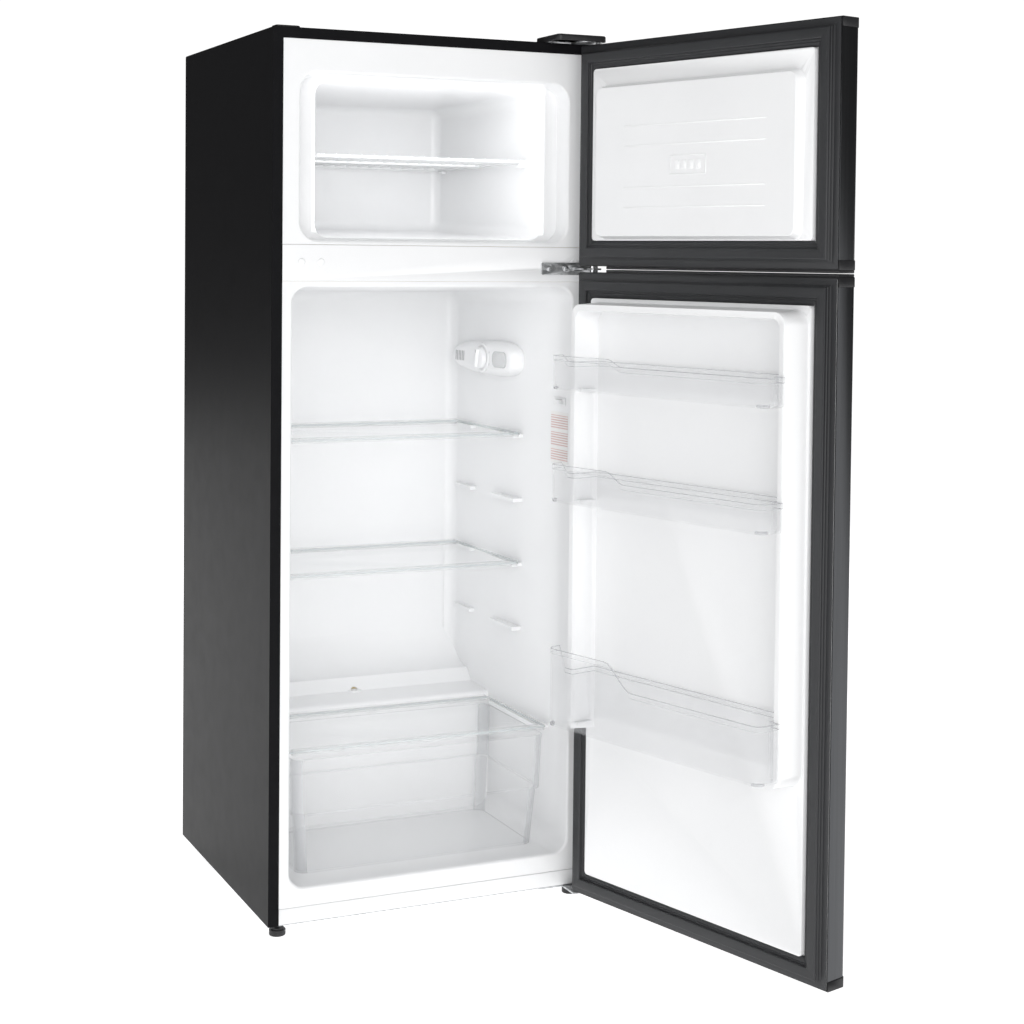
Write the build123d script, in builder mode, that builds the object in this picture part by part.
"""Two-door refrigerator with its freezer on top, as an assembly of separate pieces.

Frame: +X to the right as seen from the front, +Y to the back, +Z up.  The origin is on the
floor, at the middle of the cabinet's width, in the plane of the front flange that the door
gaskets close on.  Both doors hang on the right side and stand open by DOOR_OPEN degrees.
"""
from build123d import *
import math
import os

# ---------------------------------------------------------------- driving dimensions (mm)
CABINET_W = 550.0          # outside width of the steel cabinet
CABINET_H = 1395.0         # height of the cabinet body, without its feet
CABINET_D = 517.0          # front flange to rear skin, without the doors
FOOT_H = 18.0              # floor to the underside of the cabinet
SHEET = 1.0                # steel sheet
WALL = 2.0                 # vacuum-formed plastic sheet
FLANGE = 17.0              # front flange of the cabinet sheet
REAR_FLANGE = 12.0
REAR_INSET = 3.0           # rear skin behind the tips of its stamped ribs
FIT = 0.3                  # clearance between neighbours that touch on the real object
RUNNING = 0.1              # radial clearance of a pin in its bore

DOOR_OPEN = 105.0          # both doors as they stand, in degrees from closed
DOOR_T = 38.0              # thickness of a door slab
DOOR_GAP = 14.0            # cabinet front to the back of the door slab
DOOR_CAP = 14.0            # height of a door's end cap
DOOR_GAP_Z = 10.0          # between the two doors
DOOR_TOP_DROP = 6.5        # cabinet top down to the top of the freezer door
FREEZER_DOOR_H = 357.0
PIN_SIDE = 12.0            # hinge axis in from the cabinet's side
PIN_FRONT = 38.0           # hinge axis in front of the cabinet
PIN_R = 4.0
BRACKET_T = 3.0

FREEZER_DEPTH = 455.0      # front flange to the rear wall of each food space
FRIDGE_DEPTH = 455.0
RIM = 5.0                  # plastic frame left above each opening
LIP = 4.0                  # radius of the opening's edge
RAIL_H = 56.5              # plastic rail between the two openings
STRIP_H = 25.0             # strip below the lower liner

BASE = FOOT_H
TOP = BASE + CABINET_H
HALF = CABINET_W / 2
FRAME_HALF = HALF - 3.0                    # plastic frame, tucked under the steel flange
STRIP_TOP = BASE + SHEET + STRIP_H
FREEZER_DOOR_TOP = TOP - DOOR_TOP_DROP
FREEZER_DOOR_LOW = FREEZER_DOOR_TOP - FREEZER_DOOR_H
FRIDGE_DOOR_TOP = FREEZER_DOOR_LOW - DOOR_GAP_Z
FRIDGE_DOOR_LOW = BASE + 1.5
MID_Z = (FREEZER_DOOR_LOW + FRIDGE_DOOR_TOP) / 2
RAIL_TOP = MID_Z + 35.0
RAIL_LOW = RAIL_TOP - RAIL_H

# each opening: half width, lower edge, upper edge, corner radius; at the mouth and at the back
FREEZER_LOW = RAIL_TOP + 6.5
FREEZER_H = TOP - 67.0 - FREEZER_LOW
FRIDGE_LOW = STRIP_TOP + 30.0
FRIDGE_TOP = RAIL_LOW - 9.0
FREEZER_MOUTH = (HALF - 45.0, FREEZER_LOW, FREEZER_LOW + FREEZER_H, 30.0)
FREEZER_LEDGE = (HALF - 51.0, FREEZER_LOW + 3.0, FREEZER_LOW + FREEZER_H - 5.0, 26.0)
FREEZER_THROAT = (HALF - 78.0, FREEZER_LOW + 4.0, FREEZER_LOW + FREEZER_H - 10.0, 22.0)
FREEZER_BACK = (HALF - 89.0, FREEZER_LOW + 24.0, FREEZER_LOW + FREEZER_H - 15.0, 22.0)
LEDGE_Y = 31.0             # depth of the step round the freezer mouth
FRIDGE_MOUTH = (HALF - 34.0, FRIDGE_LOW, FRIDGE_TOP, 25.0)
FRIDGE_BACK = (HALF - 52.0, FRIDGE_LOW, FRIDGE_TOP - 16.0, 25.0)

# compressor step inside the fresh-food space, as (y, z) of its profile
STEP_Y = 300.0
STEP_Z = FRIDGE_LOW + 207.0
TROUGH_Y = 372.0
COVE_Y = 391.0
COVE_Z = STEP_Z + 25.0
COVE_R = FRIDGE_DEPTH - COVE_Y
ROOM_Y = 356.0             # front wall of the compressor room
ROOM_TOP = STEP_Z - 46.0

# shelves, as the height of the glass top
SHELF_PITCH = 112.0
CRISPER_COVER_Z = FRIDGE_LOW + 202.0
LOWER_SHELF_Z = FRIDGE_LOW + 462.0
UPPER_SHELF_Z = LOWER_SHELF_Z + 2 * SHELF_PITCH
SHELF_FRONT = 160.0
SHELF_BACK = 432.0
GLASS = 4.0
RIB_H = 6.0
RIB_IN = HALF - 59.0       # inner face of the shelf ribs
WIRE_SHELF_Z = FREEZER_LOW + 135.0
WIRE_R = 1.4
RAIL_R = 2.6

PIN_X = HALF - PIN_SIDE
PIN_Y = -PIN_FRONT
SIDE = Plane.YZ            # local x runs back, local y runs up, the normal points right

# front trims
RAIL_T = 12.0
CAP_X = (-227.0, -195.5)   # plugs over the spare hinge holes
CAP_R = 5.5
CAP_RISE = 8.0             # plugs above the hinge's height
PLUG = (40.0, 26.0, 3.0)   # corner plug on the top: along x, y, z

# hinges, screws and feet
FOOT_X = HALF - 20.0
FOOT_Y = 16.0
FOOT_R = 13.0
FOOT_STEM_R = 4.0
FOOT_PAD_H = 9.0
FOOT_NECK_H = 12.0
FOOT_STEM_H = 24.0
FOOT_ROOM = 10.0           # half width of the space left round a foot's stem
SCREW_R = 2.4
SCREW_L = 9.0
SCREW_HEAD_R = 5.0
SCREW_HEAD_H = 2.6
MID_PLATE_X = HALF - 92.0  # left end of the middle hinge plate
MID_PLATE_H = 20.0
MID_PIN_L = 30.0
END_PIN_L = 18.0
END_PLATE_X = HALF - 82.0  # left end of the top and bottom hinge plates
END_PLATE_Y = (4.0, 30.0)
ARM_X = HALF - 40.0        # left edge of the arm that carries a pin
HINGE_SCREW_X = (HALF - 79.0, HALF - 49.0)
TOP_SCREWS = ((HALF - 62.0, 14.0), (HALF - 42.0, 14.0), (HALF - 22.0, 14.0))
LOW_SCREWS = ((HALF - 68.0, 14.0), (HALF - 48.0, 14.0))
COVER_X = (HALF - 90.0, HALF - 1.0)
COVER_Y = (-50.0, 36.0)
COVER_H = 10.0
COVER_WALL = 2.0

# compressor room
ROLLER_R = 14.0
ROLLER_W = 16.0
ROLLER_X = HALF - 40.0
ROLLER_Y = 484.0
AXLE_R = 3.0
AXLE_OUT = 5.0
DECK_Z = 30.0              # underside of the compressor deck
DECK_T = 2.0
DECK_Y = (384.0, 506.0)
DECK_SIDE_H = 24.0
PUMP_X = 40.0
PUMP_Y = 442.0
PUMP_LOW = 52.0
PUMP_H = 128.0
PUMP_L = 186.0
PUMP_W = 118.0
SEAM_HALF = PUMP_L / 2 - 11.0              # middle of the pump to the end of its weld seam
STUD_R = 3.0
GROMMET_R = 11.0
GROMMET_H = 14.0
DRAIN_R = 7.0
TUBE_STUBS = ((PUMP_Y - 30, 118.0), (PUMP_Y, 92.0), (PUMP_Y + 28, 124.0))
SUCTION_R = 3.2
TUBE_R = 2.6
RELAY = (48.0, 56.0, 62.0)                 # size of the relay box along x, y, z
RELAY_X = PUMP_X + SEAM_HALF + FIT
RELAY_LOW = 76.0
GLAND_Z = RELAY_LOW + 22.0
PAN_X = 92.0               # half length of the drip pan
PAN_Y = (PUMP_Y - 60.0, PUMP_Y + 58.0)
PAN_H = 28.0
PAN_WALL = 2.5
SPOUT = 24.0               # half width of the pan's spout under the drain
DRIER_X = -150.0
DRIER_Y = 470.0
DRIER_Z = (90.0, 190.0)
DRIER_R = 10.0

# hidden refrigerant circuit
COIL_R = 3.6
COIL_HALF = FREEZER_THROAT[0] + 8.0
COIL_LOW = FREEZER_LOW - 4.0
COIL_TOP = FREEZER_LOW + FREEZER_H + 2.0
COIL_FRONT = 64.0
COIL_BACK = 416.0
COIL_TURNS = 5
COIL_BEND = 12.0
PLATE_HALF = 170.0
PLATE_LOW = LOWER_SHELF_Z + 90.0
PLATE_ROWS = 6
PLATE_Y = FRIDGE_DEPTH + WALL + COIL_R + FIT
CONDENSER_R = 2.4
CONDENSER_BEND = 20.0
CONDENSER_ROWS = 6

# fittings on the right wall of the fresh-food space; s runs forward along the wall
CONTROL_Y = 297.0
CONTROL_Z = FRIDGE_TOP - 131.0
CONTROL_L = 250.0
CONTROL_H = 68.0
CONTROL_T = 24.0
CONTROL_WALL = 10.0
KNOB_S = 8.0               # knob ahead of the housing's middle
KNOB_R = 19.0
KNOB_T = 9.0
KNOB_STEM_R = 5.0
GRIP_T = 5.0
LENS_S = 78.0
LENS_L = 58.0
LENS_H = 30.0
LENS_CORNER = 8.0
SWITCH_Y = 40.0
SWITCH_Z = FRIDGE_TOP - 191.0
SWITCH_L = 42.0
SWITCH_W = 13.0
SWITCH_DEPTH = 16.0
PLUNGER = (22.0, 6.0)      # plunger of the switch: along and across
LABEL_Y = 41.0
LABEL_Z = SWITCH_Z - 61.0
LABEL = (58.0, 86.0)

# wire shelf, shelf trims and drawer
WIRE_HALF = FREEZER_BACK[0] - 2.5
WIRE_FRONT = 62.0
WIRE_BACK = 436.0
WIRES = 17
STUD_Y = (90.0, 425.0)     # studs of the freezer liner under the wire shelf
TRIM_D = 9.0
TRIM_H = 9.0
TRIM_DROP = 2.5            # trim below the glass
DRAWER_FRONT = 46.0
DRAWER_BACK = 290.0
DRAWER_LOW = FRIDGE_LOW + FIT
DRAWER_TOP = CRISPER_COVER_Z - GLASS - RIB_H - 4.0
DRAWER_STEP = DRAWER_LOW + 96.0
DRAWER_HALF = HALF - 54.0
DRAWER_WALL = 2.2
DRAWER_CORNER = 16.0

# doors, in their own frame: u along the door from its hinge edge, v out of its front
OPEN = math.radians(DOOR_OPEN)
DOOR_X = Vector(-math.cos(OPEN), -math.sin(OPEN), 0)
DOOR_V = Vector(math.sin(OPEN), -math.cos(OPEN), 0)
DOOR_CORNER = Vector(PIN_X, PIN_Y, 0) - DOOR_X * PIN_SIDE - DOOR_V * PIN_FRONT
DOOR_FRONT = DOOR_GAP + DOOR_T
HEM = 14.0                 # inward return at the back of a door skin
CAP_IN = 16.0              # door edge to the core of an end cap
CAP_CORE = 5.0             # depth that an end cap reaches into the skin
GASKET_IN = 41.0           # door edge to the inner edge of the gasket
GASKET_OUT = 12.0
GASKET_T = 11.5
PANEL_V = 2.5              # white door panel in front of the cabinet plane when closed
LINER_V = DOOR_GAP - WALL  # outer face of the liner's margin
DIKE_V = -45.0
DIKE_W = 16.0
DIKE_IN = GASKET_IN + 4.0
DIKE_LOW = FRIDGE_LOW + 230.0
BIN_V = -88.0
BIN_WALL = 2.0
BIN_HUMP = (68.0, 200.0)   # raised part of a bin's front, along the door
GRIP = (330.0, 520.0, 32.0, 9.0)           # finger scoop: from, to, depth line and height

# door bins: height of the underside, height of the front, height of the raised end, name
BINS = ((FRIDGE_LOW + 781.0, 43.0, 11.0, "top_bin"), (FRIDGE_LOW + 603.0, 43.0, 17.0, "middle_bin"),
        (FRIDGE_LOW + 246.0, 86.0, 38.0, "bottle_bin"))

os.makedirs("parts", exist_ok=True)


# ---------------------------------------------------------------- helpers
def keep(piece, name):
    """Label a finished piece and write its STEP file."""
    piece.part.label = name
    export_step(piece.part, f"parts/{name}.step")


def facing(y):
    """Upright plane across the cabinet at depth y: local x is X, local y is Z."""
    return Plane(origin=(0, y, 0), x_dir=(1, 0, 0), z_dir=(0, -1, 0))


def level(z):
    """Horizontal plane at height z."""
    return Plane.XY.offset(z)


def span(a0, a1, b0, b1, radius=0.0, mode=Mode.ADD):
    """Rectangle from (a0, b0) to (a1, b1) in the current sketch."""
    with Locations(((a0 + a1) / 2, (b0 + b1) / 2)):
        if radius:
            RectangleRounded(a1 - a0, b1 - b0, radius, mode=mode)
        else:
            Rectangle(a1 - a0, b1 - b0, mode=mode)


def slab(x0, x1, y0, y1, z0, z1, mode=Mode.ADD):
    """Upright block between two corners, in the current part."""
    with BuildSketch(level(z0)) as plan:
        span(x0, x1, y0, y1)
    extrude(plan.sketch, amount=z1 - z0, mode=mode)


def drafted(front, back, y0, y1, grow=0.0, mode=Mode.ADD):
    """Space that narrows from the rounded rectangle front at y0 to back at y1."""
    sections = []
    for (half, low, high, radius), y in ((front, y0), (back, y1)):
        with BuildSketch(facing(y)) as section:
            span(-half - grow, half + grow, low - grow, high + grow, radius + grow)
        sections.append(section.sketch)
    loft(sections, ruled=True, mode=mode)


def foot_rooms():
    """Spaces for the stems of the two levelling feet, cut from the current part."""
    for x in (-FOOT_X, FOOT_X):
        slab(x - FOOT_ROOM, x + FOOT_ROOM, FOOT_Y - FOOT_ROOM, FOOT_Y + FOOT_ROOM,
             BASE, BASE + 3 * FOOT_ROOM, Mode.SUBTRACT)


def wall_x(y):
    """Distance of the fresh-food side wall from the middle plane, at depth y."""
    slope = (FRIDGE_MOUTH[0] - FRIDGE_BACK[0]) / (FRIDGE_DEPTH - SHEET)
    return FRIDGE_MOUTH[0] - slope * (y - SHEET)


def on_wall(y, lift=0.0):
    """Plane on the right side wall at depth y: local x to the front, normal inwards."""
    slope = math.atan((FRIDGE_MOUTH[0] - FRIDGE_BACK[0]) / (FRIDGE_DEPTH - SHEET))
    normal = Vector(-math.cos(slope), -math.sin(slope), 0)
    origin = Vector(wall_x(y), y, 0) + normal * lift
    return Plane(origin=origin, x_dir=(math.sin(slope), -math.cos(slope), 0), z_dir=normal)


# ---------------------------------------------------------------- cabinet sheet metal
def make_shell():
    """Steel wrap over both sides and the top, with its front and rear flanges."""
    with BuildPart() as shell:
        with BuildSketch(facing(0)) as wrap:
            span(-HALF, HALF, BASE, TOP)
            fillet(wrap.vertices().group_by(Axis.Y)[-1], 3 * SHEET)
            span(-HALF + SHEET, HALF - SHEET, BASE - SHEET, TOP - SHEET, mode=Mode.SUBTRACT)
        extrude(amount=-(CABINET_D - REAR_INSET))
        for y, width in ((0, FLANGE), (CABINET_D - REAR_INSET - SHEET, REAR_FLANGE)):
            with BuildSketch(facing(y)):
                span(-HALF + SHEET, HALF - SHEET, BASE, TOP - SHEET)
                span(-HALF + width, HALF - width, BASE - SHEET, TOP - width, mode=Mode.SUBTRACT)
            extrude(amount=-SHEET)
        front = shell.edges().group_by(Axis.Y)[0].filter_by(
            lambda e: abs(e.center().X) > HALF - 0.1 or e.center().Z > TOP - 0.1)
        chamfer(front, 0.6 * SHEET)
    keep(shell, "cabinet_shell")


def make_back_panel():
    """Rear skin with stamped stiffening ribs."""
    y = CABINET_D - REAR_INSET
    low = ROOM_TOP + 2 * SHEET
    high = TOP - 2 * SHEET
    rib_count = 5
    pitch = CABINET_W / (rib_count + 1)
    with BuildPart() as panel:
        with BuildSketch(facing(y)):
            span(-HALF + 2 * SHEET, HALF - 2 * SHEET, low, high)
        extrude(amount=-SHEET)
        with BuildSketch(facing(y + SHEET)):
            with Locations((0, (low + high) / 2)):
                with GridLocations(pitch, 0, rib_count, 1):
                    SlotOverall(high - low - 160, 26, rotation=90)
        extrude(amount=-(REAR_INSET - SHEET), taper=30)
    keep(panel, "back_panel")


def make_base_plate():
    """Bottom sheet that steps up over the compressor room."""
    rear = CABINET_D - REAR_INSET - SHEET
    with BuildPart() as plate:
        with BuildSketch(SIDE):
            span(SHEET, ROOM_Y, BASE, BASE + SHEET)
            span(ROOM_Y - SHEET, ROOM_Y, BASE, ROOM_TOP)
            span(ROOM_Y - SHEET, rear, ROOM_TOP - SHEET, ROOM_TOP)
        extrude(amount=HALF - SHEET, both=True)
        with Locations((-FOOT_X, FOOT_Y, BASE), (FOOT_X, FOOT_Y, BASE)):
            Hole(FOOT_STEM_R + 2 * FIT)
        with Locations((0, TROUGH_Y, ROOM_TOP)):
            Hole(DRAIN_R)
    keep(plate, "base_plate")


# ---------------------------------------------------------------- liners and foam
def fridge_space(grow):
    """The fresh-food space with its compressor step, grown outwards by grow."""
    with BuildPart() as space:
        drafted(FRIDGE_MOUTH, FRIDGE_BACK, SHEET, FRIDGE_DEPTH + grow, grow)
        fillet(space.edges().group_by(Axis.Y)[-1], 20.0 + grow)
        with BuildSketch(SIDE):
            with BuildLine():
                front = STEP_Y + grow
                low = FRIDGE_LOW - 20.0
                behind = FRIDGE_DEPTH + 40.0
                Polyline((FRIDGE_DEPTH + grow, COVE_Z + COVE_R), (behind, COVE_Z + COVE_R),
                         (behind, low), (front, low), (front, STEP_Z - 8.0))
                RadiusArc((front, STEP_Z - 8.0), (STEP_Y + 8.0, STEP_Z - grow), 8.0 - grow)
                Polyline((STEP_Y + 8.0, STEP_Z - grow), (TROUGH_Y, STEP_Z + 4.0 - grow),
                         (COVE_Y, COVE_Z - grow))
                CenterArc((COVE_Y, COVE_Z + COVE_R), COVE_R + grow, 270, 90)
            make_face()
        extrude(amount=HALF, both=True, mode=Mode.SUBTRACT)
    return space.part


def freezer_space(grow):
    """The freezer space with the shallow step round its mouth, grown outwards by grow."""
    with BuildPart() as space:
        drafted(FREEZER_THROAT, FREEZER_BACK, LEDGE_Y - 12.0, FREEZER_DEPTH + grow, grow)
        fillet(space.edges().group_by(Axis.Y)[-1], 16.0 + grow)
        drafted(FREEZER_MOUTH, FREEZER_LEDGE, SHEET, LEDGE_Y + grow, grow)
    return space.part


def rim_edges(part, y, low, high):
    """Edges of the opening's rim that lie in the plane at depth y."""
    return part.edges().filter_by(
        lambda e: abs(e.bounding_box().min.Y - y) < 0.01 and abs(e.bounding_box().max.Y - y) < 0.01
        and abs(e.center().X) < FRAME_HALF - 3 and low + 2 < e.center().Z < high - 2)


def lined(space, low, high):
    """Formed sheet: a flat frame from low to high with the space pressed into it."""
    inside = space(0)
    outside = space(WALL)
    with BuildPart() as air:
        with BuildSketch(facing(SHEET)):
            span(-FRAME_HALF, FRAME_HALF, low, high)
        extrude(amount=20)
        add(inside)
        fillet(rim_edges(air, SHEET, low, high), LIP)
    with BuildPart() as sheet:
        with BuildSketch(facing(SHEET)):
            span(-FRAME_HALF, FRAME_HALF, low, high)
        extrude(amount=-WALL)
        add(outside)
        fillet(rim_edges(sheet, SHEET + WALL, low, high), LIP - WALL)
        add(air.part, mode=Mode.SUBTRACT)
    return sheet.part


def shelf_ribs(z, spans):
    """Ribs on both side walls whose tops carry a shelf with its underside at z."""
    for y0, y1 in spans:
        for side in (-1, 1):
            with BuildSketch(level(z - FIT - RIB_H)) as rib:
                Polygon((side * RIB_IN, y0), (side * (wall_x(y0) + 1), y0),
                        (side * (wall_x(y1) + 1), y1), (side * RIB_IN, y1), align=None)
            extrude(rib.sketch, amount=RIB_H)


def make_fridge_liner():
    """Fresh-food liner with shelf ribs, the bores for its fittings and a drain."""
    sheet = lined(fridge_space, STRIP_TOP + FIT, RAIL_LOW - FIT)
    with BuildPart() as liner:
        add(sheet)
        for step in range(4):
            z = LOWER_SHELF_Z + (step - 1) * SHELF_PITCH - GLASS
            shelf_ribs(z, ((SHELF_FRONT + 14, 270.0), (361.0, SHELF_BACK)))
        shelf_ribs(CRISPER_COVER_Z - GLASS, ((70.0, 270.0),))
        with BuildSketch(on_wall(SWITCH_Y, -6 * WALL)):
            with Locations((0, SWITCH_Z)):
                Rectangle(SWITCH_L - 8, SWITCH_W - 3)
        extrude(amount=8 * WALL, mode=Mode.SUBTRACT)
        with Locations(Location((0, TROUGH_Y, STEP_Z + 10))):
            Cylinder(DRAIN_R, 40, mode=Mode.SUBTRACT)
    keep(liner, "fridge_liner")


def make_freezer_liner():
    """Freezer liner with the four studs that carry its wire shelf."""
    half = (FREEZER_THROAT[0] + FREEZER_BACK[0]) / 2
    sheet = lined(freezer_space, RAIL_TOP + FIT, TOP - 2 * SHEET)
    with BuildPart() as liner:
        add(sheet)
        for side in (-1, 1):
            for y in STUD_Y:
                inner = side * (WIRE_HALF - 5)
                outer = side * (half + 8 - 0.026 * (y - LEDGE_Y))
                with BuildSketch(level(WIRE_SHELF_Z - RAIL_R - FIT - 5)):
                    span(min(inner, outer), max(inner, outer), y - 9, y + 9, 2)
                extrude(amount=5)
    keep(liner, "freezer_liner")


def make_foam():
    """Insulation that fills the cabinet between its sheets and the two liners."""
    side = HALF - 8.0
    voids = (fridge_space(WALL + FIT), freezer_space(WALL + FIT))
    with BuildPart() as foam:
        with BuildSketch(SIDE):
            span(SHEET + WALL, CABINET_D - REAR_INSET - SHEET, BASE + SHEET, TOP - SHEET)
            span(ROOM_Y - SHEET, CABINET_D, BASE, ROOM_TOP, mode=Mode.SUBTRACT)
            span(0, RAIL_T, RAIL_LOW - FIT, RAIL_TOP + FIT, mode=Mode.SUBTRACT)
            span(0, RAIL_T, BASE, STRIP_TOP + FIT, mode=Mode.SUBTRACT)
        extrude(amount=side, both=True)
        add(voids, mode=Mode.SUBTRACT)
        for half, low, high, radius in (FREEZER_MOUTH, FRIDGE_MOUTH):
            with BuildSketch(facing(SHEET)):
                span(-half - LIP, half + LIP, low - LIP, high + LIP, radius + LIP)
            extrude(amount=-(WALL + LIP), mode=Mode.SUBTRACT)
        with BuildSketch(facing(COIL_FRONT - 8)):
            span(-COIL_HALF - 5, COIL_HALF + 5, COIL_LOW - 5, COIL_TOP + 5)
        extrude(amount=-(FRIDGE_DEPTH + WALL + 21 - COIL_FRONT), mode=Mode.SUBTRACT)
        with BuildSketch(facing(FRIDGE_DEPTH + WALL)):
            span(-PLATE_HALF - 8, PLATE_HALF + 8, PLATE_LOW - 8, COIL_LOW)
        extrude(amount=-13, mode=Mode.SUBTRACT)
        foot_rooms()
        with BuildSketch(on_wall(SWITCH_Y, -22)):
            with Locations((0, SWITCH_Z)):
                Rectangle(SWITCH_L, SWITCH_W + 4)
        extrude(amount=30, mode=Mode.SUBTRACT)
        with Locations(Location((0, TROUGH_Y, (ROOM_TOP + STEP_Z) / 2))):
            Cylinder(DRAIN_R + 3, STEP_Z - ROOM_TOP + 30, mode=Mode.SUBTRACT)
    keep(foam, "cabinet_foam")


# ---------------------------------------------------------------- front trims


def make_centre_rail():
    """White rail across the front between the two food spaces."""
    with BuildPart() as rail:
        with BuildSketch(facing(0)):
            span(-HALF + FLANGE + FIT, HALF - FLANGE - FIT, RAIL_LOW, RAIL_TOP)
        extrude(amount=-RAIL_T)
        fillet(rail.edges().filter_by(Axis.X).group_by(Axis.Y)[0], 1.2)
        with BuildSketch(facing(0)):
            with Locations(*[(x, MID_Z) for x in HINGE_SCREW_X]):
                Circle(SCREW_R)
        extrude(amount=-(SCREW_L + 1), mode=Mode.SUBTRACT)
    keep(rail, "centre_rail")


def make_rail_caps():
    """Two domed plugs in the spare hinge holes of the rail."""
    with BuildPart() as caps:
        with BuildSketch(facing(0)):
            with Locations(*[(x, MID_Z + CAP_RISE) for x in CAP_X]):
                Circle(CAP_R)
        extrude(amount=1.8)
        fillet(caps.edges().group_by(Axis.Y)[0], 1.2)
    keep(caps, "rail_screw_caps")


def make_front_strip():
    """White strip across the bottom of the front."""
    with BuildPart() as strip:
        with BuildSketch(facing(0)):
            span(-HALF + FLANGE + FIT, HALF - FLANGE - FIT, BASE + SHEET + FIT, STRIP_TOP)
        extrude(amount=-RAIL_T)
        fillet(strip.edges().filter_by(Axis.X).group_by(Axis.Y)[0], 1.2)
        foot_rooms()
    keep(strip, "lower_front_strip")


def make_corner_plug():
    """Small cap that closes the spare top hinge position at the left."""
    with BuildPart() as plug:
        with BuildSketch(level(TOP)):
            span(-HALF + 6, -HALF + 6 + PLUG[0], 4, 4 + PLUG[1], 6)
        extrude(amount=PLUG[2])
        fillet(plug.edges().group_by(Axis.Z)[-1], 1.5)
    keep(plug, "corner_plug_cap")


# ---------------------------------------------------------------- hinges and feet


def pin_profile():
    """Round pin at the hinge axis, in the current sketch."""
    with Locations((PIN_X, PIN_Y)):
        Circle(PIN_R)


def make_mid_hinge():
    """Plate on the rail, arm between the doors and a pin that both doors turn on."""
    arm_low = MID_Z - BRACKET_T / 2
    with BuildPart() as hinge:
        with BuildSketch(facing(0)):
            span(MID_PLATE_X, HALF - 4, MID_Z - MID_PLATE_H / 2, MID_Z + MID_PLATE_H / 2, 3)
        extrude(amount=BRACKET_T)
        with BuildSketch(level(arm_low)):
            span(HALF - 34, HALF - 4, PIN_Y, 0)
            with Locations((PIN_X - 6, PIN_Y)):
                Circle(8)
            span(PIN_X - 6, PIN_X + 8, PIN_Y - 8, PIN_Y, 3)
        extrude(amount=BRACKET_T)
        with BuildSketch(level(MID_Z - MID_PIN_L / 2)):
            pin_profile()
        extrude(amount=MID_PIN_L)
        with BuildSketch(facing(SHEET)):
            with Locations(*[(x, MID_Z) for x in HINGE_SCREW_X]):
                Circle(SCREW_R + FIT)
        extrude(amount=BRACKET_T + 2, mode=Mode.SUBTRACT)
        chamfer(hinge.edges().filter_by(GeomType.CIRCLE).group_by(Axis.Z)[-1], 0.8)
        chamfer(hinge.edges().filter_by(GeomType.CIRCLE).group_by(Axis.Z)[0], 0.8)
    keep(hinge, "mid_hinge_bracket")


def flat_hinge(z, direction, name, screws):
    """Bracket that lies flat on the cabinet at z, its pin reaching towards the door."""
    low = z if direction < 0 else z - BRACKET_T
    with BuildPart() as hinge:
        with BuildSketch(level(low)):
            span(END_PLATE_X, HALF - 6, *END_PLATE_Y, 4)
            span(ARM_X, HALF - 6, PIN_Y, 20)
            with Locations((PIN_X - 5, PIN_Y)):
                Circle(9)
            span(PIN_X - 5, PIN_X + 6, PIN_Y - 9, PIN_Y + 2, 3)
        extrude(amount=BRACKET_T)
        with BuildSketch(level(z)):
            pin_profile()
        extrude(amount=direction * END_PIN_L)
        with BuildSketch(level(low)):
            with Locations(*screws):
                Circle(SCREW_R + FIT)
            if direction > 0:
                with Locations((FOOT_X, FOOT_Y)):
                    Circle(FOOT_STEM_R + FIT)
        extrude(amount=BRACKET_T, mode=Mode.SUBTRACT)
    keep(hinge, name)


def make_hinge_screws():
    """All the cross-head screws that hold the hinge brackets to the cabinet."""
    with BuildPart() as screws:
        with BuildSketch(facing(-BRACKET_T)):
            with Locations(*[(x, MID_Z) for x in HINGE_SCREW_X]):
                Circle(SCREW_HEAD_R)
        extrude(amount=SCREW_HEAD_H)
        with BuildSketch(facing(-BRACKET_T)):
            with Locations(*[(x, MID_Z) for x in HINGE_SCREW_X]):
                Circle(SCREW_R - RUNNING)
        extrude(amount=-(SCREW_L + BRACKET_T))
        for z, way, places in ((TOP + BRACKET_T, 1, TOP_SCREWS), (BASE - BRACKET_T, -1, LOW_SCREWS)):
            with BuildSketch(level(z)):
                with Locations(*places):
                    Circle(SCREW_HEAD_R)
            extrude(amount=way * SCREW_HEAD_H)
            with BuildSketch(level(z)):
                with Locations(*places):
                    Circle(SCREW_R - RUNNING)
            extrude(amount=-way * BRACKET_T)
    keep(screws, "hinge_screws")


def make_top_hinge_cover():
    """Black cap over the top hinge bracket, open underneath."""
    corner = 8.0
    with BuildPart() as cover:
        with BuildSketch(level(TOP)) as outline:
            span(*COVER_X, *COVER_Y)
            fillet(outline.vertices(), corner)
        extrude(amount=COVER_H)
        fillet(cover.edges().group_by(Axis.Z)[-1], corner / 3)
        with BuildSketch(level(TOP)) as hollow:
            span(COVER_X[0] + COVER_WALL, COVER_X[1] - COVER_WALL,
                 COVER_Y[0] + COVER_WALL, COVER_Y[1] - COVER_WALL)
            fillet(hollow.vertices(), corner - COVER_WALL)
        extrude(amount=COVER_H - COVER_WALL, mode=Mode.SUBTRACT)
    keep(cover, "top_hinge_cover")


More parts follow.
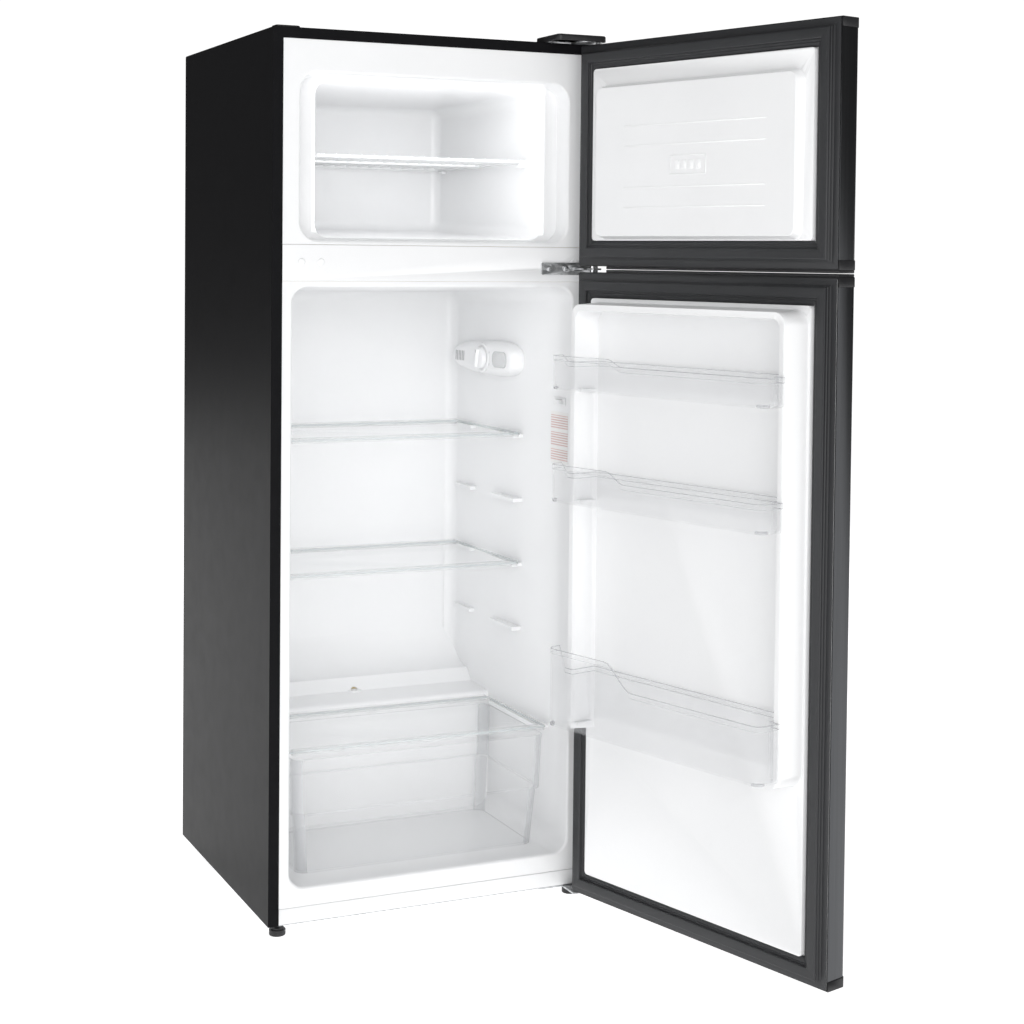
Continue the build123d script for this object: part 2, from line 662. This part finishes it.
def make_foot(side, name):
    """Levelling foot: a round pad on a threaded stem."""
    with BuildPart() as foot:
        with BuildSketch(level(0)):
            with Locations((side * FOOT_X, FOOT_Y)):
                Circle(FOOT_R)
        extrude(amount=FOOT_PAD_H)
        with BuildSketch(level(FOOT_PAD_H)):
            with Locations((side * FOOT_X, FOOT_Y)):
                Circle(FOOT_R - 3)
        extrude(amount=FOOT_NECK_H - FOOT_PAD_H)
        chamfer(foot.edges().group_by(Axis.Z)[0], 1)
        with BuildSketch(level(FOOT_NECK_H)):
            with Locations((side * FOOT_X, FOOT_Y)):
                Circle(FOOT_STEM_R)
        extrude(amount=FOOT_STEM_H)
    keep(foot, name)


# ---------------------------------------------------------------- compressor room


def pump_feet():
    """Positions of the compressor's four rubber mounts."""
    return GridLocations(PUMP_L - 10, PUMP_W - 26, 2, 2)


def make_deck():
    """Cross member that carries the compressor and the two rear rollers."""
    reach = HALF - SHEET - FIT
    with BuildPart() as deck:
        slab(-reach, reach, *DECK_Y, DECK_Z, DECK_Z + DECK_T)
        for y in (DECK_Y[0], DECK_Y[1] - DECK_T):
            slab(-ROLLER_X + 24, ROLLER_X - 24, y, y + DECK_T, DECK_Z - 8, DECK_Z)
        for side in (-1, 1):
            inner = side * (reach - DECK_T)
            slab(min(inner, side * reach), max(inner, side * reach), *DECK_Y, DECK_Z, DECK_Z + DECK_SIDE_H)
            for offset in (-(ROLLER_W / 2 + 2 + DECK_T), ROLLER_W / 2 + 2):
                x = side * ROLLER_X + offset
                slab(x, x + DECK_T, ROLLER_Y - 10, ROLLER_Y + 10, ROLLER_R - 7, DECK_Z)
        with BuildSketch(SIDE):
            with Locations((ROLLER_Y, ROLLER_R)):
                Circle(AXLE_R + RUNNING)
        extrude(amount=HALF, both=True, mode=Mode.SUBTRACT)
        with Locations(Location((PUMP_X, PUMP_Y, DECK_Z + DECK_T))):
            with pump_feet():
                Cylinder(STUD_R, GROMMET_H + 12, align=(Align.CENTER, Align.CENTER, Align.MIN))
    keep(deck, "compressor_deck")


def make_roller(side, name):
    """Rear roller with its stub axles."""
    with BuildPart() as roller:
        with BuildSketch(SIDE.offset(side * ROLLER_X)):
            with Locations((ROLLER_Y, ROLLER_R)):
                Circle(ROLLER_R)
        extrude(amount=ROLLER_W / 2, both=True)
        fillet(roller.edges().filter_by(GeomType.CIRCLE), 1.5)
        with BuildSketch(SIDE.offset(side * ROLLER_X)):
            with Locations((ROLLER_Y, ROLLER_R)):
                Circle(AXLE_R)
        extrude(amount=ROLLER_W / 2 + AXLE_OUT, both=True)
    keep(roller, name)


def make_compressor():
    """Sealed motor compressor: welded shell, foot plate and three tube stubs."""
    middle = PUMP_LOW + PUMP_H / 2
    with BuildPart() as pump:
        with BuildSketch(level(PUMP_LOW)) as can:
            with Locations((PUMP_X, PUMP_Y)):
                RectangleRounded(PUMP_L - 30, PUMP_W - 8, 50)
        extrude(amount=PUMP_H)
        fillet(pump.edges().group_by(Axis.Z)[-1], 34)
        fillet(pump.edges().group_by(Axis.Z)[0], 20)
        with BuildSketch(level(middle)):
            with Locations((PUMP_X, PUMP_Y)):
                RectangleRounded(2 * SEAM_HALF, PUMP_W, 54)
        extrude(amount=5)
        foot_z = DECK_Z + DECK_T + GROMMET_H
        with BuildSketch(level(foot_z)):
            with Locations((PUMP_X, PUMP_Y)):
                RectangleRounded(PUMP_L + 16, PUMP_W, 12)
                with pump_feet():
                    Circle(GROMMET_R - 3, mode=Mode.SUBTRACT)
        extrude(amount=PUMP_LOW + 4 - foot_z)
        with BuildSketch(SIDE.offset(PUMP_X - PUMP_L / 2 + 30)):
            with Locations(*TUBE_STUBS):
                Circle(4)
        extrude(amount=-26)
    keep(pump, "compressor")


def make_grommets():
    """Rubber mounts between the compressor's feet and the deck."""
    low = DECK_Z + DECK_T
    with BuildPart() as grommets:
        with BuildSketch(level(low)):
            with Locations((PUMP_X, PUMP_Y)):
                with pump_feet():
                    Circle(GROMMET_R)
                    Circle(STUD_R + FIT, mode=Mode.SUBTRACT)
        extrude(amount=GROMMET_H)
        with BuildSketch(level(low + GROMMET_H)):
            with Locations((PUMP_X, PUMP_Y)):
                with pump_feet():
                    Circle(GROMMET_R - 3 - FIT)
                    Circle(STUD_R + FIT, mode=Mode.SUBTRACT)
        extrude(amount=9)
    keep(grommets, "compressor_grommets")


def make_relay_box():
    """Cover over the compressor's terminals, starter and overload."""
    with BuildPart() as box:
        slab(RELAY_X, RELAY_X + RELAY[0], PUMP_Y - RELAY[1] / 2, PUMP_Y + RELAY[1] / 2,
             RELAY_LOW, RELAY_LOW + RELAY[2])
        fillet(box.edges().filter_by(Axis.Z), 5)
        chamfer(box.edges().group_by(Axis.Z)[-1], 2)
    keep(box, "relay_box")


def make_gland():
    """Strain relief on the relay box where the mains lead would leave."""
    face = PUMP_Y + RELAY[1] / 2
    x = RELAY_X + RELAY[0] / 2
    with BuildPart() as gland:
        with BuildSketch(facing(face)):
            with Locations((x, GLAND_Z)):
                Circle(9)
        extrude(amount=-4)
        with BuildSketch(facing(face + 4)):
            with Locations((x, GLAND_Z)):
                Circle(7)
        extrude(amount=-16, taper=6)
        with BuildSketch(facing(face)):
            with Locations((x, GLAND_Z)):
                Circle(3.6)
        extrude(amount=-24, mode=Mode.SUBTRACT)
    keep(gland, "cord_gland")


def make_drip_pan():
    """Tray on top of the compressor where defrost water dries off."""
    low = PUMP_LOW + PUMP_H + FIT
    with BuildPart() as pan:
        slab(PUMP_X - PAN_X, PUMP_X + PAN_X, *PAN_Y, low, low + PAN_H)
        fillet(pan.edges().filter_by(Axis.Z), 14)
        slab(PUMP_X - PAN_X + PAN_WALL, PUMP_X + PAN_X - PAN_WALL, PAN_Y[0] + PAN_WALL,
             PAN_Y[1] - PAN_WALL, low + PAN_WALL, low + PAN_H, Mode.SUBTRACT)
        with BuildSketch(level(low)):
            span(-SPOUT, SPOUT, ROOM_Y + 8, PAN_Y[0] + 1, 3)
        extrude(amount=PAN_H)
        with BuildSketch(level(low + PAN_WALL)):
            span(-SPOUT + 3, SPOUT - 3, ROOM_Y + 11, PAN_Y[0] + 4, 3)
        extrude(amount=PAN_H, mode=Mode.SUBTRACT)
    keep(pan, "drip_pan")


def make_drain():
    """Drain elbow from the trough of the liner to the drip pan."""
    with BuildPart() as drain:
        with BuildSketch(level(ROOM_TOP - 12)):
            with Locations((0, TROUGH_Y)):
                Circle(DRAIN_R - FIT)
                Circle(DRAIN_R - 2, mode=Mode.SUBTRACT)
        extrude(amount=STEP_Z + 3 - ROOM_TOP + 12)
    keep(drain, "drain_tube")


def make_drier():
    """Copper filter drier beside the compressor."""
    low, high = DRIER_Z
    neck = TUBE_R + 0.4
    place = (DRIER_X, DRIER_Y, 0)
    with BuildPart() as drier:
        with BuildSketch(Plane(origin=place, x_dir=(1, 0, 0), z_dir=(0, -1, 0))):
            with BuildLine():
                Polyline((0, low), (neck, low), (neck, low + 8), (DRIER_R, low + 20),
                         (DRIER_R, high - 20), (neck, high - 8), (neck, high), (0, high),
                         close=True)
            make_face()
        revolve(axis=Axis(place, (0, 0, 1)))
    keep(drier, "filter_drier")


def tube(points, radius, bend):
    """Round tube along straight runs joined by arcs, in the current part."""
    with BuildLine() as route:
        FilletPolyline(*points, radius=bend)
    start = route.line @ 0
    with BuildSketch(Plane(origin=start, z_dir=route.line % 0)) as section:
        Circle(radius)
    sweep(section.sketch, path=route.line)


def make_tubes():
    """Suction, discharge and process tubes of the compressor, and the drier's two tubes."""
    x = PUMP_X - PUMP_L / 2 + 4 - FIT
    ceiling = ROOM_TOP - SHEET - FIT
    wall = -HALF + SHEET + FIT
    low, high = DRIER_Z
    with BuildPart() as tubes:
        y, z = TUBE_STUBS[0]
        tube([(x, y, z), (x - 60, y, z), (x - 60, y, ceiling)], SUCTION_R, 18)
        y, z = TUBE_STUBS[1]
        tube([(x, y, z), (x - 36, y, z), (x - 36, y, z + 50), (x - 80, y, z + 50),
              (x - 80, y, ceiling)], TUBE_R, 14)
        y, z = TUBE_STUBS[2]
        tube([(x, y, z), (x - 22, y, z), (x - 22, y, z + 34)], TUBE_R, 12)
        rod((DRIER_X, DRIER_Y, high + FIT), (DRIER_X, DRIER_Y, ceiling), TUBE_R)
        tube([(DRIER_X, DRIER_Y, low - FIT), (DRIER_X, DRIER_Y, low - 22),
              (wall, DRIER_Y, low - 22)], TUBE_R, 12)
    keep(tubes, "refrigerant_tubes")


# ---------------------------------------------------------------- hidden refrigerant circuit


def make_evaporator():
    """One tube: turns round the freezer liner, then a serpentine behind the fridge liner."""
    pitch = (COIL_BACK - COIL_FRONT) / COIL_TURNS
    points = [(-COIL_HALF + 30, COIL_FRONT, COIL_LOW)]
    for turn in range(COIL_TURNS):
        y = COIL_FRONT + turn * pitch
        points += [(COIL_HALF, y, COIL_LOW), (COIL_HALF, y, COIL_TOP), (-COIL_HALF, y, COIL_TOP)]
        points += [(-COIL_HALF, y + pitch, COIL_LOW)]
    points += [(PLATE_HALF, PLATE_Y, COIL_LOW)]
    drop = (COIL_LOW - PLATE_LOW) / PLATE_ROWS
    for row in range(1, PLATE_ROWS + 1):
        side = 1 if row % 2 else -1
        z = COIL_LOW - row * drop
        points += [(side * PLATE_HALF, PLATE_Y, z), (-side * PLATE_HALF, PLATE_Y, z)]
    with BuildPart() as coil:
        tube(points, COIL_R, COIL_BEND)
    keep(coil, "evaporator_coil")


def make_condenser():
    """Condenser tube bonded to the inside of each side wall."""
    x = HALF - SHEET - FIT - CONDENSER_R
    pitch = (CABINET_D - 120.0) / (CONDENSER_ROWS - 1)
    with BuildPart() as coil:
        for side in (-1, 1):
            points = []
            for row in range(CONDENSER_ROWS):
                y = 60.0 + row * pitch
                ends = (BASE + 320, TOP - 90) if row % 2 == 0 else (TOP - 90, BASE + 320)
                points += [(side * x, y, ends[0]), (side * x, y, ends[1])]
            tube(points, CONDENSER_R, CONDENSER_BEND)
    keep(coil, "condenser_coil")


# ---------------------------------------------------------------- fittings on the right wall


def make_control_housing():
    """Housing of the thermostat and the lamp, hollow towards the wall."""
    with BuildPart() as housing:
        with BuildSketch(on_wall(CONTROL_Y, FIT)):
            with Locations((0, CONTROL_Z)):
                SlotOverall(CONTROL_L, CONTROL_H)
        extrude(amount=CONTROL_T)
        fillet(housing.edges().group_by(Axis.X)[0], 9)
        with BuildSketch(on_wall(CONTROL_Y, FIT)):
            with Locations((0, CONTROL_Z)):
                SlotOverall(CONTROL_L - 2 * CONTROL_WALL, CONTROL_H - 2 * CONTROL_WALL)
        extrude(amount=CONTROL_T - 3, mode=Mode.SUBTRACT)
        with BuildSketch(on_wall(CONTROL_Y, 0)):
            with Locations((KNOB_S, CONTROL_Z)):
                Circle(KNOB_STEM_R + RUNNING)
            with Locations((LENS_S, CONTROL_Z)):
                RectangleRounded(LENS_L + 2 * FIT, LENS_H + 2 * FIT, LENS_CORNER)
        extrude(amount=CONTROL_T + 4, mode=Mode.SUBTRACT)
    keep(housing, "control_housing")


def make_knob():
    """Thermostat knob with its stem."""
    with BuildPart() as knob:
        with BuildSketch(on_wall(CONTROL_Y, CONTROL_T + 2 * FIT)):
            with Locations((KNOB_S, CONTROL_Z)):
                Circle(KNOB_R)
        extrude(amount=KNOB_T, taper=4)
        with BuildSketch(on_wall(CONTROL_Y, CONTROL_T + 2 * FIT + KNOB_T)):
            with Locations((KNOB_S, CONTROL_Z)):
                RectangleRounded(7, 2 * KNOB_R - 5, 3)
        extrude(amount=GRIP_T, taper=6)
        with BuildSketch(on_wall(CONTROL_Y, CONTROL_T + 2 * FIT)):
            with Locations((KNOB_S, CONTROL_Z)):
                Circle(KNOB_STEM_R)
        extrude(amount=-10)
    keep(knob, "thermostat_knob")


def make_lens():
    """Clear window over the lamp."""
    with BuildPart() as lens:
        with BuildSketch(on_wall(CONTROL_Y, CONTROL_T - 3)):
            with Locations((LENS_S, CONTROL_Z)):
                RectangleRounded(LENS_L, LENS_H, LENS_CORNER)
        extrude(amount=5)
    keep(lens, "lamp_lens")


def make_bulb():
    """Lamp bulb behind the window."""
    with BuildPart() as bulb:
        with BuildSketch(on_wall(CONTROL_Y, FIT)):
            with Locations((LENS_S, CONTROL_Z)):
                Circle(8)
        extrude(amount=6)
        with BuildSketch(on_wall(CONTROL_Y, FIT + 6)):
            with Locations((LENS_S, CONTROL_Z)):
                Circle(9)
        extrude(amount=12)
        fillet(bulb.edges().group_by(Axis.X)[0], 4)
    keep(bulb, "lamp_bulb")


def make_switch():
    """Frame of the door switch, let into the wall."""
    with BuildPart() as frame:
        with BuildSketch(on_wall(SWITCH_Y, FIT)):
            with Locations((0, SWITCH_Z)):
                RectangleRounded(SWITCH_L, SWITCH_W, 2)
        extrude(amount=1.5)
        with BuildSketch(on_wall(SWITCH_Y, FIT)):
            with Locations((0, SWITCH_Z)):
                Rectangle(SWITCH_L - 9, SWITCH_W - 4)
        extrude(amount=-SWITCH_DEPTH)
        with BuildSketch(on_wall(SWITCH_Y, 4)):
            with Locations((0, SWITCH_Z)):
                Rectangle(PLUNGER[0] + 2 * FIT, PLUNGER[1] + 2 * FIT)
        extrude(amount=-SWITCH_DEPTH - 2, mode=Mode.SUBTRACT)
    keep(frame, "switch_frame")


def make_plunger():
    """Sprung plunger of the door switch."""
    with BuildPart() as plunger:
        with BuildSketch(on_wall(SWITCH_Y, -9)):
            with Locations((0, SWITCH_Z)):
                Rectangle(*PLUNGER)
        extrude(amount=16)
        fillet(plunger.edges().group_by(Axis.X)[0], 2)
    keep(plunger, "switch_plunger")


def make_label():
    """Blank sticker on the side wall near the front."""
    with BuildPart() as label:
        with BuildSketch(on_wall(LABEL_Y, 0.1)):
            with Locations((0, LABEL_Z)):
                RectangleRounded(*LABEL, 2)
        extrude(amount=0.4)
    keep(label, "info_label")


# ---------------------------------------------------------------- shelves and drawer


def rod(start, end, radius):
    """Straight round wire between two points, in the current part."""
    axis = Vector(*end) - Vector(*start)
    with BuildSketch(Plane(origin=start, z_dir=axis)) as section:
        Circle(radius)
    extrude(section.sketch, amount=axis.length)


def make_wire_shelf():
    """Freezer shelf of welded wire."""
    z = WIRE_SHELF_Z
    with BuildPart() as shelf:
        for side in (-1, 1):
            x = side * (WIRE_HALF - RAIL_R)
            rod((x, WIRE_FRONT - 5, z), (x, WIRE_BACK + 5, z), RAIL_R)
        for y in (WIRE_FRONT, (WIRE_FRONT + WIRE_BACK) / 2, WIRE_BACK):
            rod((-WIRE_HALF + RAIL_R, y, z), (WIRE_HALF - RAIL_R, y, z), RAIL_R - 0.3)
        pitch = 2 * (WIRE_HALF - 12) / (WIRES - 1)
        for wire in range(WIRES):
            x = -WIRE_HALF + 12 + wire * pitch
            rod((x, WIRE_FRONT - 3, z + RAIL_R - 0.4), (x, WIRE_BACK + 3, z + RAIL_R - 0.4), WIRE_R)
    keep(shelf, "freezer_wire_shelf")


def shelf_outline(front, back, half_front, half_back):
    """Shelf plan, a little narrower at the back, in the current sketch."""
    Polygon((-half_front, front), (half_front, front), (half_back, back), (-half_back, back),
            align=None)


def make_shelf(z, front, back, half_front, half_back, name):
    """Glass pane with its top at z, and the two clear trims that hold its edges."""
    with BuildPart() as glass:
        with BuildSketch(level(z - GLASS)):
            shelf_outline(front + TRIM_D / 2, back - TRIM_D / 2, half_front, half_back)
        extrude(amount=GLASS)
    keep(glass, f"{name}_glass")
    with BuildPart() as trims:
        with BuildSketch(level(z - GLASS - TRIM_DROP)):
            shelf_outline(front, back, half_front - 4, half_back - 4)
            span(-HALF, HALF, front + TRIM_D, back - TRIM_D, mode=Mode.SUBTRACT)
        extrude(amount=TRIM_H)
        with BuildSketch(level(z - GLASS - FIT)):
            shelf_outline(front + TRIM_D / 2 - FIT, back - TRIM_D / 2 + FIT, half_front + 9,
                          half_back + 9)
        extrude(amount=GLASS + 2 * FIT, mode=Mode.SUBTRACT)
    keep(trims, f"{name}_trims")


def drawer_tub(inset, floor):
    """Tub of the drawer, shrunk by inset, in the current part."""
    lower = (DRAWER_HALF - 14, DRAWER_FRONT + 16, DRAWER_BACK - 14)
    middle = (DRAWER_HALF - 7, DRAWER_FRONT + 8, DRAWER_BACK - 7)
    shoulder = (DRAWER_HALF - 3, DRAWER_FRONT + 4, DRAWER_BACK - 3)
    upper = (DRAWER_HALF, DRAWER_FRONT, DRAWER_BACK)
    shelf = DRAWER_STEP + inset
    for (low, z0), (high, z1) in (((lower, floor), (middle, shelf)),
                                  ((shoulder, shelf), (upper, DRAWER_TOP))):
        sections = []
        for (half, front, back), z in ((low, z0), (high, z1)):
            with BuildSketch(level(z)) as section:
                span(-half + inset, half - inset, front + inset, back - inset, DRAWER_CORNER - inset)
            sections.append(section.sketch)
        loft(sections, ruled=True)


def make_drawer():
    """Clear crisper drawer with a shoulder half-way up."""
    with BuildPart() as hollow:
        drawer_tub(DRAWER_WALL, DRAWER_LOW + DRAWER_WALL)
    with BuildPart() as drawer:
        drawer_tub(0, DRAWER_LOW)
        add(hollow.part, mode=Mode.SUBTRACT)
    keep(drawer, "crisper_drawer")


# ---------------------------------------------------------------- doors


def door_at(z):
    """Horizontal plane at z: local x runs along the open door, local y out of its front."""
    return Plane(origin=DOOR_CORNER + Vector(0, 0, z), x_dir=DOOR_X, z_dir=(0, 0, 1))


def door_face(v):
    """Upright plane of the door at v: local x along the door, local y up, normal inwards."""
    return Plane(origin=DOOR_CORNER + DOOR_V * v, x_dir=DOOR_X, z_dir=DOOR_V * -1)


def make_skin(low, high, name):
    """Steel skin over the front and both edges of a door, with inward returns."""
    with BuildPart() as skin:
        with BuildSketch(door_at(low)) as profile:
            span(SHEET, CABINET_W - SHEET, DOOR_GAP, DOOR_FRONT - SHEET)
            fillet(front_corners(profile), 6)
            span(2 * SHEET, CABINET_W - 2 * SHEET, DOOR_GAP + SHEET, DOOR_FRONT - 2 * SHEET,
                 5, mode=Mode.SUBTRACT)
            span(HEM, CABINET_W - HEM, DOOR_GAP - 1, DOOR_GAP + 2 * SHEET, mode=Mode.SUBTRACT)
        extrude(amount=high - low)
    keep(skin, name)


def front_corners(profile):
    """The two corners of a door's plan that lie at its front."""
    return profile.vertices().filter_by(lambda p: p.Y > DOOR_FRONT - 3)


def make_cap(low, up, name, grip):
    """Plastic end cap; up is 1 on top of a door and -1 below one, grip adds a finger scoop."""
    inside = low if up > 0 else low + DOOR_CAP
    with BuildPart() as cap:
        with BuildSketch(door_at(low)) as outline:
            span(0, CABINET_W, DOOR_GAP, DOOR_FRONT)
            fillet(front_corners(outline), 7)
        extrude(amount=DOOR_CAP)
        with BuildSketch(door_at(inside)):
            span(CAP_IN, CABINET_W - CAP_IN, DOOR_GAP + 2 * SHEET, DOOR_FRONT - 4, 3)
        extrude(amount=-up * CAP_CORE)
        with BuildSketch(door_at(inside - up * (CAP_CORE + 1))):
            with Locations((PIN_SIDE, PIN_FRONT)):
                Circle(PIN_R + RUNNING)
        extrude(amount=up * 40, mode=Mode.SUBTRACT)
        if grip:
            outer = low + DOOR_CAP if up > 0 else low
            with BuildSketch(door_at(outer)):
                span(GRIP[0], GRIP[1], GRIP[2], DOOR_FRONT + 1, 8)
            extrude(amount=-up * GRIP[3], mode=Mode.SUBTRACT)
    keep(cap, name)


def make_gasket(low, high, name):
    """Magnetic gasket round the back of a door."""
    with BuildPart() as gasket:
        with BuildSketch(door_face(LINER_V)):
            span(GASKET_OUT, CABINET_W - GASKET_OUT, low + GASKET_OUT, high - GASKET_OUT, 4)
            span(GASKET_IN, CABINET_W - GASKET_IN, low + GASKET_IN, high - GASKET_IN, 3,
                 mode=Mode.SUBTRACT)
        extrude(amount=GASKET_T)
    keep(gasket, name)


def make_door_foam(low, high, name):
    """Insulation inside a door."""
    with BuildPart() as foam:
        with BuildSketch(door_face(DOOR_FRONT - 2 * SHEET - FIT)):
            span(CAP_IN, CABINET_W - CAP_IN, low + DOOR_CAP + CAP_CORE + FIT,
                 high - DOOR_CAP - CAP_CORE - FIT)
        extrude(amount=DOOR_T - 2 * SHEET - 2 * FIT)
        inner = GASKET_IN + WALL + 3
        with BuildSketch(door_face(DOOR_GAP + 1)):
            span(inner, CABINET_W - inner, low + inner, high - inner)
        extrude(amount=DOOR_GAP + 1 - PANEL_V - WALL - FIT)
    keep(foam, name)


def panel_block(low, high, grow, base):
    """Raised panel of a door liner, shrunk by grow, from v = base inwards."""
    edge = GASKET_IN + FIT + grow
    with BuildSketch(door_face(base)) as panel:
        span(edge, CABINET_W - edge, low + edge, high - edge, 6)
    extrude(panel.sketch, amount=base - PANEL_V - grow)


def make_freezer_door_liner():
    """Formed liner of the freezer door with its shallow raised pad."""
    low, high = FREEZER_DOOR_LOW, FREEZER_DOOR_TOP
    with BuildPart() as hollow:
        panel_block(low, high, WALL, DOOR_GAP + 1)
        with BuildSketch(door_face(PANEL_V + 3)):
            span(62, CABINET_W - 62, low + 45, high - 72, 16)
        extrude(amount=15, taper=20)
    with BuildPart() as liner:
        with BuildSketch(door_face(DOOR_GAP)):
            span(3, CABINET_W - 3, low + 3, high - 3)
        extrude(amount=WALL)
        panel_block(low, high, 0, DOOR_GAP)
        with BuildSketch(door_face(PANEL_V)):
            span(59, CABINET_W - 59, low + 43, high - 69, 18)
        extrude(amount=14, taper=20)
        add(hollow.part, mode=Mode.SUBTRACT)
        pad = liner.faces().sort_by(Axis(origin=(0, 0, 0), direction=DOOR_V * -1))[-1]
        fillet(pad.outer_wire().edges(), 1.5)
    keep(liner, "freezer_door_liner")


def make_fridge_door_liner():
    """Formed liner of the fridge door: raised panel with two dikes joined over the top."""
    low, high = FRIDGE_DOOR_LOW, FRIDGE_DOOR_TOP
    crown = high - GASKET_IN - 6.0
    inside = DIKE_IN + DIKE_W
    with BuildPart() as hollow:
        panel_block(low, high, WALL, DOOR_GAP + 1)
    with BuildPart() as liner:
        with BuildSketch(door_face(DOOR_GAP)):
            span(3, CABINET_W - 3, low + 3, high - 3)
        extrude(amount=WALL)
        panel_block(low, high, 0, DOOR_GAP)
        add(hollow.part, mode=Mode.SUBTRACT)
        with BuildSketch(door_face(PANEL_V)):
            span(DIKE_IN, CABINET_W - DIKE_IN, DIKE_LOW, crown, 22)
            span(inside, CABINET_W - inside, DIKE_LOW - 30, crown - DIKE_W, 12,
                 mode=Mode.SUBTRACT)
        extrude(amount=PANEL_V - DIKE_V, taper=4)
        for z, *_ in BINS:
            for u0, u1 in ((inside - 4, inside + 7), (CABINET_W - inside - 7, CABINET_W - inside + 4)):
                with BuildSketch(door_at(z - FIT - 5)):
                    span(u0, u1, DIKE_V + 6, -8, 1)
                extrude(amount=5)
    keep(liner, "fridge_door_liner")


def bin_outline(z, inset):
    """Plan of a door bin at z: narrow between the dikes, wider in front of them."""
    neck = DIKE_IN + DIKE_W + 1.0 + inset
    wide = DIKE_IN - 1.0 + inset
    crest = DIKE_V - 1.0 - inset
    front = BIN_V + inset
    with BuildSketch(door_at(z)) as plan:
        Polygon((neck, -inset), (CABINET_W - neck, -inset), (CABINET_W - neck, crest),
                (CABINET_W - wide - 1, crest), (CABINET_W - wide - 12, front),
                (wide + 8, front), (wide, crest), (neck, crest), align=None)
        fillet(plan.vertices().filter_by(lambda p: p.Y < front + 1), 14 - inset)
    return plan.sketch


def make_bin(z, height, raised, name):
    """Clear door bin whose front rises towards the hinge."""
    start, end = BIN_HUMP
    with BuildPart() as tray:
        extrude(bin_outline(z, 0), amount=height)
        extrude(bin_outline(z + BIN_WALL, BIN_WALL), amount=height, mode=Mode.SUBTRACT)
        with BuildSketch(door_face(BIN_V + BIN_WALL)):
            with BuildLine():
                top = z + height
                Polyline((start, top - 4), (start, top + raised), (end, top + raised),
                         (end + 1.1 * raised + 20, top - 4), close=True)
            make_face()
        extrude(amount=BIN_WALL)
    keep(tray, name)


# ---------------------------------------------------------------- build everything
make_shell()
make_back_panel()
make_base_plate()
make_fridge_liner()
make_freezer_liner()
make_foam()
make_centre_rail()
make_rail_caps()
make_front_strip()
make_corner_plug()
make_mid_hinge()
flat_hinge(TOP, -1, "top_hinge_bracket", TOP_SCREWS)
flat_hinge(BASE, 1, "bottom_hinge_bracket", LOW_SCREWS)
make_hinge_screws()
make_top_hinge_cover()
make_foot(-1, "front_foot_left")
make_foot(1, "front_foot_right")
make_deck()
make_roller(-1, "rear_roller_left")
make_roller(1, "rear_roller_right")
make_compressor()
make_grommets()
make_relay_box()
make_gland()
make_drip_pan()
make_drain()
make_drier()
make_tubes()
make_evaporator()
make_condenser()
make_control_housing()
make_knob()
make_lens()
make_bulb()
make_switch()
make_plunger()
make_label()
make_wire_shelf()
make_shelf(UPPER_SHELF_Z, SHELF_FRONT, SHELF_BACK, HALF - 51, HALF - 56, "upper_shelf")
make_shelf(LOWER_SHELF_Z, SHELF_FRONT, SHELF_BACK, HALF - 51, HALF - 56, "lower_shelf")
make_shelf(CRISPER_COVER_Z, 48.0, 288.0, HALF - 50, HALF - 55.6, "crisper_cover")
make_drawer()
for low, high, door in ((FREEZER_DOOR_LOW, FREEZER_DOOR_TOP, "freezer_door"),
                        (FRIDGE_DOOR_LOW, FRIDGE_DOOR_TOP, "fridge_door")):
    make_skin(low + DOOR_CAP, high - DOOR_CAP, f"{door}_skin")
    make_cap(high - DOOR_CAP, 1, f"{door}_top_cap", door == "fridge_door")
    make_cap(low, -1, f"{door}_bottom_cap", door == "freezer_door")
    make_gasket(low, high, f"{door}_gasket")
    make_door_foam(low, high, f"{door}_foam")
make_freezer_door_liner()
make_fridge_door_liner()
for bin_z, bin_height, bin_raised, bin_name in BINS:
    make_bin(bin_z, bin_height, bin_raised, bin_name)
